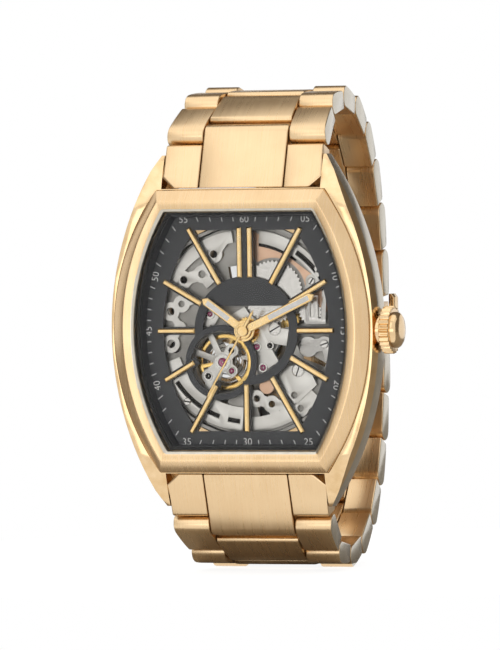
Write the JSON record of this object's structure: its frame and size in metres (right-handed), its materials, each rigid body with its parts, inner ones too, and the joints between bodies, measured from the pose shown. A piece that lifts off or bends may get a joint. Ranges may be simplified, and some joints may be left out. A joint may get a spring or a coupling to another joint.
{
  "type": "skeleton wristwatch",
  "caption": "Tonneau skeleton wristwatch with an automatic movement behind an open dial, on a three-piece link bracelet with a folding clasp.",
  "frame": {"origin": "centre of the back crystal's outer face, which lies flush with the case back", "axes": "+Z to twelve o'clock, +X to the crown, the dial faces -Y and the wrist is at +Y"},
  "size_m": [0.0439, 0.0441, 0.0704],
  "materials": {
    "gold_plate": "brushed and polished gold plate on steel",
    "steel": "sandblasted",
    "dial_black": "satin black",
    "brass": "polished",
    "glass": "mineral crystal",
    "rubber": "matt"
  },
  "bodies": {
    "head": {"case": "gold_plate", "bezel": "gold_plate", "crystal": "glass", "crystal_gasket": "rubber", "case_back": "gold_plate", "back_crystal": "glass", "back_gasket": "rubber", "end_link_12": "gold_plate", "end_link_6": "gold_plate", "spring_bar_12": "steel", "spring_bar_6": "steel", "dial": "dial_black", "main_plate": "steel", "train_bridge": "steel", "balance_bridge": "steel", "rear_bridge": "steel", "movement_ring": "steel", "rotor_bearing": "steel"},
    "row_6_1": {"row_6_1": "gold_plate"},
    "row_6_2": {"row_6_2": "gold_plate"},
    "row_6_3": {"row_6_3": "gold_plate"},
    "row_6_4": {"row_6_4": "gold_plate"},
    "row_6_5": {"row_6_5": "gold_plate"},
    "row_6_6": {"row_6_6": "gold_plate"},
    "row_6_7": {"row_6_7": "gold_plate"},
    "row_6_8": {"row_6_8": "gold_plate"},
    "clasp_blade_6": {"clasp_blade_6": "gold_plate"},
    "clasp_base": {"clasp_base": "gold_plate"},
    "clasp_blade_12": {"clasp_blade_12": "gold_plate"},
    "row_12_8": {"row_12_8": "gold_plate"},
    "row_12_7": {"row_12_7": "gold_plate"},
    "row_12_6": {"row_12_6": "gold_plate"},
    "row_12_5": {"row_12_5": "gold_plate"},
    "row_12_4": {"row_12_4": "gold_plate"},
    "row_12_3": {"row_12_3": "gold_plate"},
    "row_12_2": {"row_12_2": "gold_plate"},
    "row_12_1": {"row_12_1": "gold_plate"},
    "button_right": {"button_right": "gold_plate"},
    "button_left": {"button_left": "gold_plate"},
    "seconds_arbor": {"fourth_wheel": "brass", "seconds_hand": "gold_plate"},
    "minute_arbor": {"centre_wheel": "brass", "minute_hand": "gold_plate"},
    "hour_pipe": {"hour_wheel": "brass", "hour_hand": "gold_plate"},
    "third_arbor": {"third_wheel": "brass"},
    "escape_arbor": {"escape_wheel": "steel"},
    "barrel_drum": {"barrel": "brass", "mainspring": "steel"},
    "pallet": {"pallet_fork": "steel"},
    "balance": {"balance_wheel": "brass", "hairspring": "steel"},
    "winding_rotor": {"rotor": "gold_plate"},
    "winding_stem": {"stem": "steel"},
    "winding_crown": {"crown": "gold_plate"},
    "crown_wheel_body": {"crown_wheel": "steel"},
    "ratchet_body": {"ratchet_wheel": "steel"}
  },
  "joints": [
    {"name": "row_6_1_turn", "type": "hinge", "parent": "head", "child": "row_6_1", "pos_m": [0, -0.00536, -0.0283], "axis": [-1, 0, 0], "range_deg": [0, 33]},
    {"name": "row_6_2_turn", "type": "hinge", "parent": "row_6_1", "child": "row_6_2", "pos_m": [0, 0.00039, -0.03265], "axis": [-1, 0, 0], "range_deg": [0, 28.9]},
    {"name": "row_6_3_turn", "type": "hinge", "parent": "row_6_2", "child": "row_6_3", "pos_m": [0, 0.00753, -0.03367], "axis": [-1, 0, 0], "range_deg": [0, 20.3]},
    {"name": "row_6_4_turn", "type": "hinge", "parent": "row_6_3", "child": "row_6_4", "pos_m": [0, 0.01458, -0.03215], "axis": [-1, 0, 0], "range_deg": [0, 20.3]},
    {"name": "row_6_5_turn", "type": "hinge", "parent": "row_6_4", "child": "row_6_5", "pos_m": [0, 0.02066, -0.02827], "axis": [-1, 0, 0], "range_deg": [0, 18.3]},
    {"name": "row_6_6_turn", "type": "hinge", "parent": "row_6_5", "child": "row_6_6", "pos_m": [0, 0.02522, -0.02269], "axis": [-1, 0, 0], "range_deg": [0, 14.4]},
    {"name": "row_6_7_turn", "type": "hinge", "parent": "row_6_6", "child": "row_6_7", "pos_m": [0, 0.02825, -0.01614], "axis": [-1, 0, 0], "range_deg": [0, 11.2]},
    {"name": "row_6_8_turn", "type": "hinge", "parent": "row_6_7", "child": "row_6_8", "pos_m": [0, 0.02996, -0.00913], "axis": [-1, 0, 0], "range_deg": [0, 8.7]},
    {"name": "clasp_open", "type": "hinge", "parent": "row_6_8", "child": "clasp_blade_6", "pos_m": [0, 0.03058, -0.00195], "axis": [-1, 0, 0], "range_deg": [0, 160]},
    {"name": "clasp_base_turn", "type": "hinge", "parent": "clasp_blade_6", "child": "clasp_base", "pos_m": [0, 0.02728, -0.0099], "axis": [1, 0, 0], "range_deg": [0, 160]},
    {"name": "clasp_blade_12_turn", "type": "hinge", "parent": "clasp_base", "child": "clasp_blade_12", "pos_m": [0, 0.02728, 0.0099], "axis": [1, 0, 0], "range_deg": [0, 160]},
    {"name": "row_12_8_turn", "type": "hinge", "parent": "clasp_blade_12", "child": "row_12_8", "pos_m": [0, 0.03058, 0.00195], "axis": [-1, 0, 0], "range_deg": [0, 160]},
    {"name": "row_12_7_turn", "type": "hinge", "parent": "row_12_8", "child": "row_12_7", "pos_m": [0, 0.02996, 0.00913], "axis": [-1, 0, 0], "range_deg": [0, 8.7]},
    {"name": "row_12_6_turn", "type": "hinge", "parent": "row_12_7", "child": "row_12_6", "pos_m": [0, 0.02825, 0.01614], "axis": [-1, 0, 0], "range_deg": [0, 11.2]},
    {"name": "row_12_5_turn", "type": "hinge", "parent": "row_12_6", "child": "row_12_5", "pos_m": [0, 0.02522, 0.02269], "axis": [-1, 0, 0], "range_deg": [0, 14.4]},
    {"name": "row_12_4_turn", "type": "hinge", "parent": "row_12_5", "child": "row_12_4", "pos_m": [0, 0.02066, 0.02827], "axis": [-1, 0, 0], "range_deg": [0, 18.3]},
    {"name": "row_12_3_turn", "type": "hinge", "parent": "row_12_4", "child": "row_12_3", "pos_m": [0, 0.01458, 0.03215], "axis": [-1, 0, 0], "range_deg": [0, 20.3]},
    {"name": "row_12_2_turn", "type": "hinge", "parent": "row_12_3", "child": "row_12_2", "pos_m": [0, 0.00753, 0.03367], "axis": [-1, 0, 0], "range_deg": [0, 20.3]},
    {"name": "row_12_1_turn", "type": "hinge", "parent": "row_12_2", "child": "row_12_1", "pos_m": [0, 0.00039, 0.03265], "axis": [-1, 0, 0], "range_deg": [0, 28.9]},
    {"name": "button_right_press", "type": "slide", "parent": "clasp_base", "child": "button_right", "axis": [-1, 0, 0], "range_m": [0, 0.0005], "stiffness_N_per_m": 800, "springref_m": -0.001},
    {"name": "button_left_press", "type": "slide", "parent": "clasp_base", "child": "button_left", "axis": [1, 0, 0], "range_m": [0, 0.0005], "stiffness_N_per_m": 800, "springref_m": -0.001},
    {"name": "seconds_turn", "type": "hinge", "parent": "head", "child": "seconds_arbor", "pos_m": [0, 0, 0], "axis": [0, 1, 0], "continuous": true},
    {"name": "minute_turn", "type": "hinge", "parent": "head", "child": "minute_arbor", "pos_m": [0, 0, 0], "axis": [0, 1, 0], "continuous": true},
    {"name": "hour_turn", "type": "hinge", "parent": "head", "child": "hour_pipe", "pos_m": [0, 0, 0], "axis": [0, 1, 0], "continuous": true},
    {"name": "third_turn", "type": "hinge", "parent": "head", "child": "third_arbor", "pos_m": [0.0018, 0, -0.0024], "axis": [0, 1, 0], "continuous": true},
    {"name": "escape_turn", "type": "hinge", "parent": "head", "child": "escape_arbor", "pos_m": [-0.0009, 0, -0.00286], "axis": [0, 1, 0], "continuous": true},
    {"name": "barrel_turn", "type": "hinge", "parent": "head", "child": "barrel_drum", "pos_m": [0.0039, 0, 0.0056], "axis": [0, 1, 0], "continuous": true},
    {"name": "pallet_rock", "type": "hinge", "parent": "head", "child": "pallet", "pos_m": [-0.00268, 0, -0.00386], "axis": [0, 1, 0], "range_deg": [-5, 5]},
    {"name": "balance_swing", "type": "hinge", "parent": "head", "child": "balance", "pos_m": [-0.0039, 0, -0.0046], "axis": [0, 1, 0], "range_deg": [-220, 220], "stiffness_Nm_per_rad": 0.000002},
    {"name": "rotor_turn", "type": "hinge", "parent": "head", "child": "winding_rotor", "pos_m": [0, 0, 0], "axis": [0, 1, 0], "continuous": true},
    {"name": "crown_pull", "type": "slide", "parent": "head", "child": "winding_stem", "axis": [1, 0, 0], "range_m": [0, 0.0012]},
    {"name": "crown_turn", "type": "hinge", "parent": "winding_stem", "child": "winding_crown", "pos_m": [0.02085, -0.00736, 0], "axis": [1, 0, 0], "continuous": true},
    {"name": "crown_wheel_turn", "type": "hinge", "parent": "head", "child": "crown_wheel_body", "pos_m": [0.0096, 0, 0.0026], "axis": [0, 1, 0], "continuous": true},
    {"name": "ratchet_turn", "type": "hinge", "parent": "head", "child": "ratchet_body", "pos_m": [0.0039, 0, 0.0056], "axis": [0, 1, 0], "continuous": true}
  ],
  "couplings": [
    {"joint": "clasp_base_turn", "follows": "clasp_open", "ratio": 1},
    {"joint": "clasp_blade_12_turn", "follows": "clasp_open", "ratio": 1},
    {"joint": "row_12_8_turn", "follows": "clasp_open", "ratio": 1},
    {"joint": "minute_turn", "follows": "seconds_turn", "ratio": 0.016667},
    {"joint": "hour_turn", "follows": "seconds_turn", "ratio": 0.0013889},
    {"joint": "third_turn", "follows": "seconds_turn", "ratio": -0.125},
    {"joint": "escape_turn", "follows": "seconds_turn", "ratio": -10},
    {"joint": "barrel_turn", "follows": "seconds_turn", "ratio": -0.0020833},
    {"joint": "crown_wheel_turn", "follows": "crown_turn", "ratio": 0.5},
    {"joint": "ratchet_turn", "follows": "crown_turn", "ratio": -0.20455}
  ]
}
